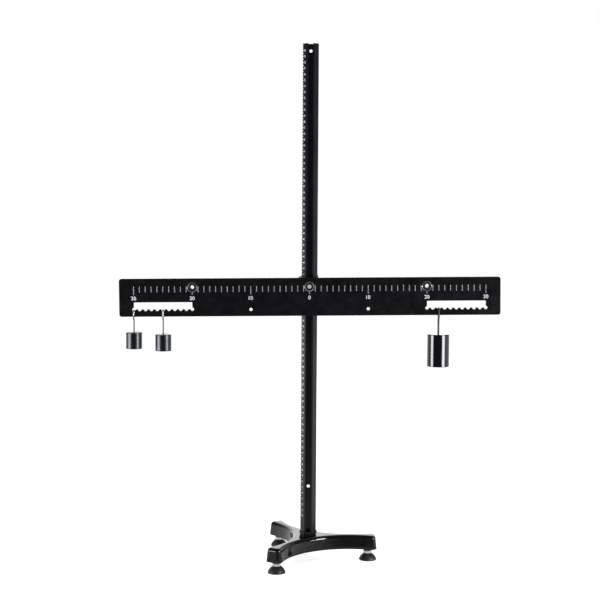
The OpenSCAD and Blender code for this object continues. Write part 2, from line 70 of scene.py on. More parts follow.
# Beam, measured from the fulcrum, which is at the post's mark 40
PIVOT_Z = SCALE_ZERO + 400.0
BEAM_TILT = math.radians(0.7)
BEAM_FRONT = 30.3
BEAM_T = 6.0
BEAM_LOW = -50.0
NOTCH_LOW = -40.5

# Clamping knob
KNOB_FACE = 14.7
KNOB_HUB_R = 10.0
KNOB_HUB_H = 5.0
KNOB_GRIP_T = 14.0
KNOB_R = 22.0
KNOB_LOBE = 3.0
KNOB_LOBES = 4
KNOB_TURN = math.radians(72)
INSERT_BORE_R = 6.03
INSERT_DEPTH = 12.9

# Hooks: the gap to the notch, the wire's bends and ends, the heights of the painted highlight on the small
# ones
HOOK_GAP = 0.1
HOOK_LEG = 5.6
HOOK_BEND = 2.4
HOOK_CRANK = 2.0
HOOK_TIP = 1.6
HOOK_FRONT = 2.0
HOOK_SEAT = 7.8
HOOK_SIDES = 20
WIRE_HIGHLIGHT_FROM = 425.5
WIRE_HIGHLIGHT_TO = 428.5

# Weights: their softened edges and the hole for the hook's shank
WEIGHT_EDGE = 1.5
WEIGHT_EDGE_R = 0.9
BORE_EDGE_R = 0.4
EYE_ROOM = 0.03
EYE_FLARE = 0.45
EYE_SINK = 0.6
EYE_DEPTH = 7.9

# Levelling feet: pad, of whose flank PAD_ROUND is dome and the rest cone, stud, and the heights of the
# painted shade on the hexagon's top under the leg
PAD_R = 15.0
PAD_H = 11.8
PAD_LIP_H = 1.6
PAD_NECK_R = 7.0
PAD_ARC = math.radians(50)
PAD_ROUND = 0.55
SOCKET_R = 4.05
SOCKET_FLOOR = 2.8
STUD_FOOT = 3.2
STUD_LEN = 31.6
STUD_CORE_R = 3.5
STUD_RIDGE = 0.46
STUD_PITCH = 1.25
HEXAGON_SHADE_FROM = 15.4
HEXAGON_SHADE_TO = 16.8

# Printed scales
INK_LIFT = 0.04
CENTIMETRE = 10.0
BEAM_SCALE_END = 30
BEAM_BAR_W = 1.15
BEAM_BAR_TOP = 1.6
BEAM_BAR_LEN = 10.1
BEAM_TEN_LEN = 14.6
BEAM_RINGED_TOP = -9.0
BEAM_RINGED_LEN = 4.0
BEAM_NUMBER_Y = -18.6
BEAM_NUMBER_H = 6.6
POST_SCALE_END = 80
POST_BAR_W = 0.9
POST_BAR_LEN = 1.9
POST_BAR_MARGIN = 0.5
POST_NUMBER_X = 4.5
POST_NUMBER_H = 4.2

# Camera and floor, in metres and degrees; the focal length and the image's width are in picture elements
IMAGE_W = 600
FOCAL_LENGTH = 1340.386
SENSOR_W = 36.0
CAMERA_AT = (0.005645, -2.307844, 0.617365)
CAMERA_HEADING = 0.544
CAMERA_PITCH = 4.053
CAMERA_ROLL = 0.327
FLOOR_REACH = 9.0

# Noise in the finishes: its fineness, and where most of its values lie for gloss and for tone
NOISE_ROUGHNESS = 0.55
GLOSS_SPREAD = (0.3, 0.7)
TONE_SPREAD = (0.34, 0.68)


# Shader building blocks


def new_finish(name, colour, roughness, metallic=0.0, gloss=0.5):
    """A material whose constants sit on the shader's own sockets."""
    made = bpy.data.materials.new(name)
    made.use_nodes = True
    tree = made.node_tree
    shader = tree.nodes["Principled BSDF"]
    shader.inputs["Base Color"].default_value = (*colour, 1.0)
    shader.inputs["Roughness"].default_value = roughness
    shader.inputs["Metallic"].default_value = metallic
    shader.inputs["Specular IOR Level"].default_value = gloss
    return made, tree, shader


def grain(tree, scale, stretch=(1.0, 1.0, 1.0), detail=3.0):
    """Noise on the piece's own coordinates, drawn out along an axis by stretch."""
    where = tree.nodes.new("ShaderNodeTexCoord")
    mapping = tree.nodes.new("ShaderNodeMapping")
    mapping.inputs["Scale"].default_value = stretch
    noise = tree.nodes.new("ShaderNodeTexNoise")
    noise.inputs["Scale"].default_value = scale
    noise.inputs["Detail"].default_value = detail
    noise.inputs["Roughness"].default_value = NOISE_ROUGHNESS
    tree.links.new(where.outputs["Object"], mapping.inputs["Vector"])
    tree.links.new(mapping.outputs["Vector"], noise.inputs["Vector"])
    return noise.outputs["Fac"]


def ramp_between(tree, value, start, end, low, high, kind="SMOOTHSTEP"):
    """A step from low to high as a value goes from start to end."""
    step = tree.nodes.new("ShaderNodeMapRange")
    step.interpolation_type = kind
    for label, number in (("From Min", start), ("From Max", end), ("To Min", low), ("To Max", high)):
        step.inputs[label].default_value = number
    tree.links.new(value, step.inputs["Value"])
    return step.outputs["Result"]


def ranged(tree, value, low, high):
    """The middle of a noise spread over low to high."""
    return ramp_between(tree, value, *GLOSS_SPREAD, low, high, "LINEAR")


def mottled(tree, value, dark, light):
    """A colour that wanders between two tones."""
    ramp = tree.nodes.new("ShaderNodeValToRGB")
    for stop, position, tone in zip(ramp.color_ramp.elements, TONE_SPREAD, (dark, light)):
        stop.position = position
        stop.color = (*tone, 1.0)
    tree.links.new(value, ramp.inputs["Fac"])
    return ramp.outputs["Color"]


def by_height(tree, lower, upper, start, end):
    """A colour that goes from lower to upper between two heights on the piece, in millimetres."""
    where, split = tree.nodes.new("ShaderNodeTexCoord"), tree.nodes.new("ShaderNodeSeparateXYZ")
    tree.links.new(where.outputs["Object"], split.inputs["Vector"])
    tint = tree.nodes.new("ShaderNodeMix")
    tint.data_type = "RGBA"
    for socket, source in zip([s for s in tint.inputs if s.type == "RGBA"], (lower, upper)):
        tree.links.new(source, socket)
    share = ramp_between(tree, split.outputs["Z"], start * MM, end * MM, 0.0, 1.0)
    tree.links.new(share, tint.inputs["Factor"])
    return next(s for s in tint.outputs if s.type == "RGBA")


def relief(tree, shader, value, strength, depth):
    """Surface texture; a second call lies on the first."""
    bump = tree.nodes.new("ShaderNodeBump")
    bump.inputs["Strength"].default_value = strength
    bump.inputs["Distance"].default_value = depth
    tree.links.new(value, bump.inputs["Height"])
    before = shader.inputs["Normal"].links
    if before:
        tree.links.new(before[0].from_socket, bump.inputs["Normal"])
    tree.links.new(bump.outputs["Normal"], shader.inputs["Normal"])


# Finishes: a dark and a light tone, the range of roughness, the scale of the spots


def two_tone(name, dark, light, rough, spot, metallic=0.0, gloss=0.5, stretch=(1.0, 1.0, 1.0), bump=None):
    """The usual finish: tone and gloss wander together; bump is a finer relief's scale, strength, depth."""
    middle = tuple((a + b) / 2 for a, b in zip(dark, light))
    made, tree, shader = new_finish(name, middle, sum(rough) / 2, metallic, gloss)
    wander = grain(tree, spot, stretch)
    tree.links.new(mottled(tree, wander, dark, light), shader.inputs["Base Color"])
    tree.links.new(ranged(tree, wander, *rough), shader.inputs["Roughness"])
    if bump:
        scale, strength, depth = bump
        relief(tree, shader, grain(tree, scale, stretch, detail=2.0), strength, depth)
    return made


def stove_enamel():
    """Thick gloss enamel over a sand casting: a slow swell under a fine orange peel."""
    made, tree, shader = new_finish("stove_enamel", (0.005, 0.005, 0.005), 0.08)
    tone = mottled(tree, grain(tree, 38.0), (0.0035, 0.0034, 0.0034), (0.0065, 0.0063, 0.0062))
    tree.links.new(tone, shader.inputs["Base Color"])
    tree.links.new(ranged(tree, grain(tree, 160.0), 0.05, 0.11), shader.inputs["Roughness"])
    relief(tree, shader, grain(tree, 45.0, detail=1.0), strength=0.05, depth=0.0005)
    relief(tree, shader, grain(tree, 420.0, detail=2.0), strength=0.03, depth=0.0001)
    return made


def anodised_bar():
    """Black anodised extrusion with die lines that run up the bar."""
    made, tree, shader = new_finish("anodised_bar", (0.008, 0.008, 0.009), 0.30)
    lines = grain(tree, 1.0, stretch=(1400.0, 1400.0, 5.0), detail=4.0)
    tone = mottled(tree, grain(tree, 24.0), (0.0062, 0.0060, 0.0092), (0.0110, 0.0107, 0.0164))
    tree.links.new(tone, shader.inputs["Base Color"])
    tree.links.new(ranged(tree, lines, 0.24, 0.36), shader.inputs["Roughness"])
    relief(tree, shader, lines, strength=0.12, depth=0.00008)
    return made


def plated_hexagon():
    """Zinc plate with painted shade: the hexagon's upper rim is painted dark and bluish where it meets the
    casting, for the leg's shade.
    """
    made, tree, shader = new_finish("plated_hexagon", (0.75, 0.78, 0.83), 0.29, metallic=0.45)
    wander = grain(tree, 420.0)
    plate = mottled(tree, wander, (0.66, 0.70, 0.77), (0.86, 0.89, 0.92))
    # Painted shade: a dark bluish tone on the hexagon's top, where the leg above shades it
    painted_shade = mottled(tree, wander, (0.040, 0.055, 0.080), (0.070, 0.090, 0.120))
    tree.links.new(by_height(tree, plate, painted_shade, HEXAGON_SHADE_FROM, HEXAGON_SHADE_TO), shader.inputs["Base Color"])
    tree.links.new(ranged(tree, wander, 0.20, 0.38), shader.inputs["Roughness"])
    relief(tree, shader, grain(tree, 1800.0, detail=2.0), strength=0.08, depth=0.00003)
    return made


def small_hook_wire():
    """Dull drawn wire with a painted highlight: lighter where it rides in its notch and hangs in front of
    the beam.
    """
    made, tree, shader = new_finish("drawn_wire", (0.12, 0.12, 0.11), 0.50, metallic=1.0)
    wander = grain(tree, 1.0, stretch=(900.0, 900.0, 60.0))
    dull = mottled(tree, wander, (0.105, 0.100, 0.095), (0.145, 0.140, 0.135))
    # Painted highlight: the wire is lighter above these heights, in front of the beam
    painted_highlight = mottled(tree, wander, (0.52, 0.51, 0.50), (0.66, 0.65, 0.64))
    tree.links.new(by_height(tree, dull, painted_highlight, WIRE_HIGHLIGHT_FROM, WIRE_HIGHLIGHT_TO), shader.inputs["Base Color"])
    tree.links.new(ranged(tree, wander, 0.44, 0.56), shader.inputs["Roughness"])
    return made


enamel = stove_enamel()
hexagon_finish = plated_hexagon()
bar_finish = anodised_bar()
drawn_wire = small_hook_wire()
ink = two_tone(
    "scale_ink", (0.66, 0.66, 0.71), (0.86, 0.86, 0.89), rough=(0.45, 0.65), spot=900.0)
thin_ink = two_tone(
    "thin_scale_ink", (0.32, 0.32, 0.34), (0.40, 0.40, 0.42), rough=(0.45, 0.65), spot=300.0)
beam_finish = two_tone(
    "satin_plate", (0.0028, 0.0028, 0.0042), (0.0050, 0.0050, 0.0075), rough=(0.24, 0.34), spot=60.0,
    gloss=0.35, bump=(1700.0, 0.10, 0.00006))
nickel = two_tone(
    "bright_nickel", (0.70, 0.70, 0.69), (0.86, 0.86, 0.85), rough=(0.10, 0.22), spot=320.0,
    metallic=1.0, bump=(2600.0, 0.05, 0.00002))
nylon = two_tone(
    "moulded_nylon", (0.006, 0.006, 0.007), (0.011, 0.011, 0.012), rough=(0.42, 0.58), spot=260.0,
    gloss=0.3, bump=(1500.0, 0.12, 0.00005))
turned_steel = two_tone(
    "turned_steel", (0.66, 0.66, 0.66), (0.84, 0.84, 0.83), rough=(0.45, 0.60), spot=1.0,
    metallic=0.35, stretch=(160.0, 3200.0, 160.0), bump=(1.0, 0.10, 0.00003))
black_chrome = two_tone(
    "polished_weight", (0.054, 0.054, 0.058), (0.068, 0.068, 0.072), rough=(0.08, 0.15), spot=1.0,
    metallic=1.0, stretch=(40.0, 40.0, 2600.0), bump=(1.0, 0.05, 0.00002))
black_satin = two_tone(
    "satin_weight", (0.050, 0.052, 0.058), (0.064, 0.066, 0.074), rough=(0.27, 0.37), spot=1.0,
    metallic=1.0, stretch=(40.0, 40.0, 2600.0), bump=(1.0, 0.05, 0.00002))
black_wire = two_tone(
    "blackened_wire", (0.045, 0.041, 0.038), (0.075, 0.070, 0.066), rough=(0.40, 0.52), spot=1.0,
    metallic=1.0, stretch=(900.0, 900.0, 60.0), bump=(1.0, 0.04, 0.00001))
zinc = two_tone(
    "bright_zinc", (0.66, 0.70, 0.77), (0.84, 0.87, 0.90), rough=(0.20, 0.38), spot=420.0,
    metallic=0.45, bump=(1800.0, 0.08, 0.00003))
pad_rubber = two_tone(
    "moulded_pad", (0.010, 0.010, 0.012), (0.019, 0.019, 0.022), rough=(0.40, 0.58), spot=190.0,
    bump=(1100.0, 0.22, 0.00008))
knob_finish = two_tone(
    "grained_knob", (0.012, 0.012, 0.013), (0.022, 0.022, 0.024), rough=(0.34, 0.48), spot=240.0,
    bump=(900.0, 0.20, 0.00010))
collar_finish = two_tone(
    "collar_moulding", (0.004, 0.004, 0.0045), (0.007, 0.007, 0.008), rough=(0.20, 0.32), spot=220.0,
    bump=(700.0, 0.06, 0.00005))
brass = two_tone(
    "turned_brass", (0.60, 0.44, 0.18), (0.78, 0.60, 0.28), rough=(0.20, 0.34), spot=1.0,
    metallic=1.0, stretch=(200.0, 2400.0, 200.0), bump=(1.0, 0.08, 0.00003))


# Mesh building blocks


def metres(x, y, z):
    """A point in millimetres, as a point in metres."""
    return (x * MM, y * MM, z * MM)


def angles(steps):
    """Equal steps round a circle."""
    return [2 * math.pi * k / steps for k in range(steps)]


def put(name, data):
    """A new object of the scene."""
    made = bpy.data.objects.new(name, data)
    bpy.context.scene.collection.objects.link(made)
    return made


def new_piece(name, points, faces, finish, sharp=38.0):
    """A mesh piece from points in millimetres, smooth but for edges sharper than the angle."""
    mesh = bpy.data.meshes.new(name)
    mesh.from_pydata([metres(*p) for p in points], [], faces)
    mesh.materials.append(finish)
    mesh.update()
    mesh.shade_smooth()
    mesh.set_sharp_from_angle(angle=math.radians(sharp))
    return put(name, mesh)


def dress(piece, body, slot, *stands_for):
    """Puts a finished piece on its body and hides the nodes that it stands for; slot is not used."""
    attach(piece, body)
    if stands_for:
        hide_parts(*stands_for)


def ring_faces(rings, n):
    """Quads between rings of n points that follow each other in the list of points."""
    return [(k * n + i, k * n + (i + 1) % n, (k + 1) * n + (i + 1) % n, (k + 1) * n + i)
            for k in range(rings - 1) for i in range(n)]


def turned_shape(profile, centre, steps=96):
    """Points and faces of a shape turned about an upright axis, on which its profile starts and ends."""
    points, faces, rings = [], [], []
    for radius, height in profile:
        first = len(points)
        around = angles(steps) if radius > 0 else [0.0]
        for a in around:
            x, y = radius * math.cos(a), radius * math.sin(a)
            points.append((centre[0] + x, centre[1] + y, centre[2] + height))
        rings.append(range(first, len(points)))
    for lower, upper in zip(rings, rings[1:]):
        for k in range(steps):
            n = (k + 1) % steps
            if len(lower) == 1:
                faces.append((lower[0], upper[n], upper[k]))
            elif len(upper) == 1:
                faces.append((lower[k], lower[n], upper[0]))
            else:
                faces.append((lower[k], lower[n], upper[n], upper[k]))
    return points, faces


def rounded(profile, corners, steps=6):
    """Replaces numbered corners of a profile by arcs; corners maps an index to its radius."""
    made = []
    for i, here in enumerate(profile):
        if i not in corners:
            made.append(here)
            continue
        p, a, b = Vector(here), Vector(profile[i - 1]), Vector(profile[i + 1])
        u, v = (a - p).normalized(), (b - p).normalized()
        half = math.acos(max(-1.0, min(1.0, u.dot(v)))) / 2
        reach = corners[i] / math.tan(half)
        start, end = p + u * reach, p + v * reach
        middle = p + (u + v).normalized() * (corners[i] / math.sin(half))
        first, last = start - middle, end - middle
        turn = first.angle_signed(last)
        for k in range(steps + 1):
            c, s = math.cos(-turn * k / steps), math.sin(-turn * k / steps)
            made.append((middle.x + first.x * c - first.y * s, middle.y + first.x * s + first.y * c))
    return made


def smooth_run(points, steps):
    """A curve through points, with straight run-in and run-out."""
    made = []
    padded = [points[0], *points, points[-1]]
    for a, b, c, d in zip(padded, padded[1:], padded[2:], padded[3:]):
        for k in range(steps):
            t = k / steps
            made.append(tuple(
                0.5 * (2 * q + (r - p) * t
                       + (2 * p - 5 * q + 4 * r - s) * t * t + (3 * q - p - 3 * r + s) * t ** 3)
                for p, q, r, s in zip(a, b, c, d)
            ))
    made.append(points[-1])
    return made


# Node trees that repeat or follow a path


def node_tree(name, inputs):
    """An empty Geometry Nodes tree with a geometry in and out and named number inputs."""
    tree = bpy.data.node_groups.new(name, "GeometryNodeTree")
    tree.interface.new_socket("Geometry", in_out="INPUT", socket_type="NodeSocketGeometry")
    tree.interface.new_socket("Geometry", in_out="OUTPUT", socket_type="NodeSocketGeometry")
    for label, kind in inputs:
        tree.interface.new_socket(label, in_out="INPUT", socket_type=kind)
    return tree, tree.nodes.new("NodeGroupInput"), tree.nodes.new("NodeGroupOutput")


def closing(tree, out, geometry, finish):
    """Ends a tree: instances made real, then the material."""
    real = tree.nodes.new("GeometryNodeRealizeInstances")
    paint = tree.nodes.new("GeometryNodeSetMaterial")
    paint.inputs["Material"].default_value = finish
    tree.links.new(geometry, real.inputs["Geometry"])
    tree.links.new(real.outputs["Geometry"], paint.inputs["Geometry"])
    tree.links.new(paint.outputs["Geometry"], out.inputs["Geometry"])


def plain_mesh(source):
    """The mesh that an object shows, with its modifiers worked out."""
    bpy.context.view_layer.update()
    return bpy.data.meshes.new_from_object(source.evaluated_get(bpy.context.evaluated_depsgraph_get()))


def grown(name, tree, values, start=None):
    """Runs a tree on a start object, or on an empty mesh, and returns the result as a plain mesh piece."""
    if start is None:
        start = put(name + "_seed", bpy.data.meshes.new(name + "_seed"))
    modifier = start.modifiers.new("grow", "NODES")
    modifier.node_group = tree
    for item in tree.interface.items_tree:
        if item.item_type == "SOCKET" and item.in_out == "INPUT" and item.name in values:
            modifier[item.identifier] = values[item.name]
    mesh = plain_mesh(start)
    bpy.data.objects.remove(start)
    mesh.name = name
    return put(name, mesh)


def tick_row_tree(finish):
    """A row of printed bars along X. Bars whose count plus phase divides by gap are left out."""
    tree, given, out = node_tree("tick_row", [
        ("count", "NodeSocketInt"), ("first", "NodeSocketFloat"), ("step", "NodeSocketFloat"),
        ("length", "NodeSocketFloat"), ("width", "NodeSocketFloat"), ("middle", "NodeSocketFloat"),
        ("gap", "NodeSocketInt"), ("phase", "NodeSocketInt"),
    ])
    new, link = tree.nodes.new, tree.links.new
    start, stride = new("ShaderNodeCombineXYZ"), new("ShaderNodeCombineXYZ")
    link(given.outputs["first"], start.inputs["X"])
    link(given.outputs["middle"], start.inputs["Y"])
    link(given.outputs["step"], stride.inputs["X"])
    row = new("GeometryNodeMeshLine")
    row.mode = "OFFSET"
    link(given.outputs["count"], row.inputs["Count"])
    link(start.outputs["Vector"], row.inputs["Start Location"])
    link(stride.outputs["Vector"], row.inputs["Offset"])
    bar = new("GeometryNodeMeshGrid")
    bar.inputs["Vertices X"].default_value = 2
    bar.inputs["Vertices Y"].default_value = 2
    link(given.outputs["width"], bar.inputs["Size X"])
    link(given.outputs["length"], bar.inputs["Size Y"])
    index, shifted, rest = new("GeometryNodeInputIndex"), new("ShaderNodeMath"), new("ShaderNodeMath")
    shifted.operation, rest.operation = "ADD", "MODULO"
    link(index.outputs["Index"], shifted.inputs[0])
    link(given.outputs["phase"], shifted.inputs[1])
    link(shifted.outputs[0], rest.inputs[0])
    link(given.outputs["gap"], rest.inputs[1])
    keep = new("FunctionNodeCompare")
    keep.data_type, keep.operation = "FLOAT", "GREATER_THAN"
    link(rest.outputs[0], keep.inputs["A"])
    keep.inputs["B"].default_value = 0.5
    place = new("GeometryNodeInstanceOnPoints")
    link(row.outputs["Mesh"], place.inputs["Points"])
    link(keep.outputs["Result"], place.inputs["Selection"])
    link(bar.outputs["Mesh"], place.inputs["Instance"])
    closing(tree, out, place.outputs["Instances"], finish)
    return tree


def wire_tree(finish):
    """A round wire of the given radius along the object's curve."""
    tree, given, out = node_tree("bent_wire", [
        ("wire radius", "NodeSocketFloat"), ("sides", "NodeSocketInt"),
    ])
    new, link = tree.nodes.new, tree.links.new
    ring, sweep = new("GeometryNodeCurvePrimitiveCircle"), new("GeometryNodeCurveToMesh")
    smooth = new("GeometryNodeSetShadeSmooth")
    link(given.outputs["wire radius"], ring.inputs["Radius"])
    link(given.outputs["sides"], ring.inputs["Resolution"])
    link(given.outputs["Geometry"], sweep.inputs["Curve"])
    link(ring.outputs["Curve"], sweep.inputs["Profile Curve"])
    sweep.inputs["Fill Caps"].default_value = True
    link(sweep.outputs["Mesh"], smooth.inputs["Geometry"])
    closing(tree, out, smooth.outputs["Geometry"], finish)
    return tree


def thread_tree(finish):
    """A screw thread: a ridge that winds round a core, both from height 0."""
    tree, given, out = node_tree("screw_thread", [
        ("core radius", "NodeSocketFloat"), ("ridge", "NodeSocketFloat"), ("turns", "NodeSocketFloat"),
        ("height", "NodeSocketFloat"), ("middle", "NodeSocketFloat"),
    ])
    new, link = tree.nodes.new, tree.links.new
    helix = new("GeometryNodeCurveSpiral")
    helix.inputs["Resolution"].default_value = 28
    link(given.outputs["turns"], helix.inputs["Rotations"])
    link(given.outputs["core radius"], helix.inputs["Start Radius"])
    link(given.outputs["core radius"], helix.inputs["End Radius"])
    link(given.outputs["height"], helix.inputs["Height"])
    ridge = new("GeometryNodeCurvePrimitiveCircle")
    ridge.inputs["Resolution"].default_value = 4
    link(given.outputs["ridge"], ridge.inputs["Radius"])
    wound = new("GeometryNodeCurveToMesh")
    wound.inputs["Fill Caps"].default_value = True
    link(helix.outputs["Curve"], wound.inputs["Curve"])
    link(ridge.outputs["Curve"], wound.inputs["Profile Curve"])
    core = new("GeometryNodeMeshCylinder")
    core.inputs["Vertices"].default_value = 32
    link(given.outputs["core radius"], core.inputs["Radius"])
    link(given.outputs["height"], core.inputs["Depth"])
    lift, shift = new("ShaderNodeCombineXYZ"), new("GeometryNodeTransform")
    link(given.outputs["middle"], lift.inputs["Z"])
    link(core.outputs["Mesh"], shift.inputs["Geometry"])
    link(lift.outputs["Vector"], shift.inputs["Translation"])
    both = new("GeometryNodeJoinGeometry")
    link(wound.outputs["Mesh"], both.inputs["Geometry"])
    link(shift.outputs["Geometry"], both.inputs["Geometry"])
    closing(tree, out, both.outputs["Geometry"], finish)
    return tree


def frame_at(origin, across, up):
    """Matrix of a place on the part, in metres, from its directions across and up."""
    x, y = Vector(across).normalized(), Vector(up).normalized()
    z = x.cross(y)
    rows = [(x[i], y[i], z[i], origin[i]) for i in range(3)]
    return Matrix((*rows, (0.0, 0.0, 0.0, 1.0)))


def numerals(name, marks, place, finish, wide, bold):
    """Printed numbers as one flat mesh. A mark is a number, its middle and its height, in millimetres."""
    points, faces = [], []
    for text, x, y, height in marks:
        curve = bpy.data.curves.new("numeral", "FONT")
        curve.body, curve.align_x = text, "LEFT"
        curve.resolution_u = 3
        curve.offset = bold
        holder = put("numeral", curve)
        shape = plain_mesh(holder)
        low = Vector(min(v.co[i] for v in shape.vertices) for i in range(2))
        high = Vector(max(v.co[i] for v in shape.vertices) for i in range(2))
        scale = height * MM / (high.y - low.y)
        first = len(points)
        for v in shape.vertices:
            flat = (Vector(v.co[:2]) - (low + high) / 2) * scale
            points.append(place @ Vector((x * MM + flat.x * wide, y * MM + flat.y, 0.0)))
        faces.extend([first + i for i in f.vertices] for f in shape.polygons)
        bpy.data.objects.remove(holder)
        bpy.data.curves.remove(curve)
        bpy.data.meshes.remove(shape)
    mesh = bpy.data.meshes.new(name)
    mesh.from_pydata(points, [], faces)
    mesh.materials.append(finish)
    mesh.update()
    return put(name, mesh)


# Finishes of the solids that keep their own shape

for node, finish in {
    "upright_post": bar_finish, "post_collar": collar_finish, "beam_plate": beam_finish,
    "post_screw_left": zinc, "post_screw_right": zinc, "axle_washer": zinc,
    "fulcrum_axle": turned_steel, "knob_insert": brass,
    "ferrule_left": nickel, "ferrule_centre": nickel, "ferrule_right": nickel,
    "bush_left": nylon, "bush_centre": nylon, "bush_right": nylon,
    "foot_nut_right": hexagon_finish, "foot_nut_rear": hexagon_finish, "foot_nut_front": hexagon_finish,
}.items():
    for holder in nodes[node].material_slots:
        holder.material = finish


# Cast tripod


def tripod_casting():
    """The same concave sides and rolled rim as the solid, at a finer step."""
    side_steps, corner_steps, wall_steps, rim_steps = 26, 18, 5, 10
    third = math.radians(120)
    far = (HUB_R - LEG_HALF_WAIST) / (1 - math.sin(third / 2))
    side_r = far - HUB_R
    side = Vector((far * math.cos(third / 2), far * math.sin(third / 2)))

    def touching(x, distance):
        """The point at x that lies at a distance from the middle of the concave side."""
        return Vector((x, side.y - math.sqrt(distance ** 2 - (x - side.x) ** 2)))

    def outline(inset, corner, radius):
        """A ring: half a side and half a leg's end, mirrored to a leg and turned to three legs."""
        turn = math.atan2(side.y - corner.y, side.x - corner.x)
        half = []
        for k in range(side_steps + 1):
            a = -third + (turn - math.pi + third) * k / side_steps
            half.append((side.x + (side_r + inset) * math.cos(a), side.y + (side_r + inset) * math.sin(a)))
        for k in range(1, corner_steps + 1):
            a = turn * (1 - k / corner_steps)
            half.append((corner.x + radius * math.cos(a), corner.y + radius * math.sin(a)))
        leg = [(x, -y) for x, y in half][1:] + half[::-1]
        ring = []
        for angle in FEET.values():
            c, s = math.cos(math.radians(angle)), math.sin(math.radians(angle))
            ring.extend((x * c - y * s, x * s + y * c) for x, y in leg)
        return ring

    outer = touching(LEG_REACH - LEG_CORNER_R, side_r + LEG_CORNER_R)
    inner = touching(CORE_CORNER_X, side_r + CORE_WALL + CORE_CORNER_R)
    rings = [(outline(CORE_WALL + CORE_TAPER, inner, CORE_CORNER_R - CORE_TAPER), CORE_DEPTH),
             (outline(CORE_WALL, inner, CORE_CORNER_R), 0.0)]
    skin = [(TOE_R, 0.0), (TOE_MIDDLE, TOE_MIDDLE), (0.0, TOE_R)]
    for k in range(1, wall_steps):
        share = k / wall_steps
        skin.append((SIDE_DRAFT * share, TOE_R + (BASE_H - RIM_R - TOE_R) * share))
    for k in range(rim_steps + 1):
        a = math.pi / 2 * k / rim_steps
        skin.append((SIDE_DRAFT + RIM_R * (1 - math.cos(a)), BASE_H - RIM_R * (1 - math.sin(a))))
    skin.append((TOP_INSET, BASE_H))
    rings.extend((outline(inset, outer, LEG_CORNER_R - inset), height) for inset, height in skin)

    points = [(x, y, BASE_Z + z) for ring, z in rings for x, y in ring]
    n = len(rings[0][0])
    leg_n = n // len(FEET)

    # Quads across each leg, rung by rung, and the hub's triangle: they close the core's roof and the top
    rungs = []
    for leg in range(len(FEET)):
        first = leg * leg_n
        rungs.append(((first - 1) % n, first, first + leg_n - 2, first + leg_n - 1))
        rungs.extend((first + i, first + i + 1, first + leg_n - 3 - i, first + leg_n - 2 - i)
                     for i in range((leg_n - 1) // 2 - 1))
    rungs.append(tuple((leg + 1) * leg_n - 1 for leg in range(len(FEET))))
    top = (len(rings) - 1) * n
    faces = ring_faces(len(rings), n)
    faces.extend(rung[::-1] for rung in rungs)
    faces.extend(tuple(top + i for i in rung) for rung in rungs)
    return new_piece("tripod_casting", points, faces, enamel, sharp=48.0)


dress(tripod_casting(), "stand", "base_enamel", "tripod_base")


# Clamping knob behind the post


def lobed_knob():
    """A round hub with the insert's hole, then a lobed grip in shares of its radius and thickness."""
    steps = 144
    mouth_w, mouth_h, edge, fillet = 0.37, 0.4, 0.6, 0.8
    hub = [
        (INSERT_BORE_R, INSERT_DEPTH), (INSERT_BORE_R, mouth_h), (INSERT_BORE_R + mouth_w, 0.0),
        (KNOB_HUB_R - edge, 0.0), (KNOB_HUB_R, edge),
        (KNOB_HUB_R, KNOB_HUB_H - fillet), (KNOB_HUB_R + fillet, KNOB_HUB_H),
    ]
    grip = smooth_run([(0.84, 0.0), (0.93, 0.05), (0.985, 0.14), (1.0, 0.28), (1.0, 0.5), (1.0, 0.68),
                       (0.975, 0.81), (0.92, 0.90), (0.84, 0.96), (0.72, 0.995), (0.5, 1.0)], 3)
    swell = [KNOB_R + KNOB_LOBE * math.cos(KNOB_LOBES * (a - KNOB_TURN)) for a in angles(steps)]
    rings = [(height, [radius] * steps) for radius, height in hub]
    rings.extend((KNOB_HUB_H + height * KNOB_GRIP_T, [share * r for r in swell]) for share, height in grip)
    points = [(r * math.cos(a), KNOB_FACE + height, PIVOT_Z + r * math.sin(a))
              for height, radii in rings for r, a in zip(radii, angles(steps))]
    faces = [(a, d, c, b) for a, b, c, d in ring_faces(len(rings), steps)]
    faces.append(tuple(range(steps)))
    faces.append(tuple(reversed(range((len(rings) - 1) * steps, len(rings) * steps))))
    return new_piece("lobed_knob", points, faces, knob_finish)


dress(lobed_knob(), "knob", "knob_black", "clamp_knob")


# Weights and hooks


def on_beam(x, up, front):
    """A point of the beam, measured from the fulcrum along the beam, up it and towards the front."""
    c, s = math.cos(BEAM_TILT), math.sin(BEAM_TILT)
    return (x * c - up * s, -front, PIVOT_Z + x * s + up * c)


def hook_path(drop, rise):
    """Points of the wire's centre line: rear tip, run in the notch, front leg, crank, shank."""
    edge = rise + NOTCH_LOW - BEAM_LOW
    front = edge + HOOK_FRONT
    path = [(HOOK_LEG, -edge - HOOK_TIP), (HOOK_LEG, -HOOK_BEND)]

    def corner(y, z, radius, start, turn, steps=8):
        """An arc about a point, from a start angle through a turn, in degrees."""
        for k in range(1, steps + 1):
            a = math.radians(start + turn * k / steps)
            path.append((y + radius * math.cos(a), z + radius * math.sin(a)))

    corner(HOOK_LEG - HOOK_BEND, -HOOK_BEND, HOOK_BEND, 0, 90)
    path.append((HOOK_BEND - HOOK_LEG, 0.0))
    corner(HOOK_BEND - HOOK_LEG, -HOOK_BEND, HOOK_BEND, 90, 90)
    path.append((-HOOK_LEG, -front))
    corner(HOOK_CRANK - HOOK_LEG, -front, HOOK_CRANK, 180, 90)
    path.append((-HOOK_CRANK, -front - HOOK_CRANK))
    corner(-HOOK_CRANK, -front - 2 * HOOK_CRANK, HOOK_CRANK, 90, -90)
    path.append((0.0, -rise - drop - HOOK_SEAT))
    return path


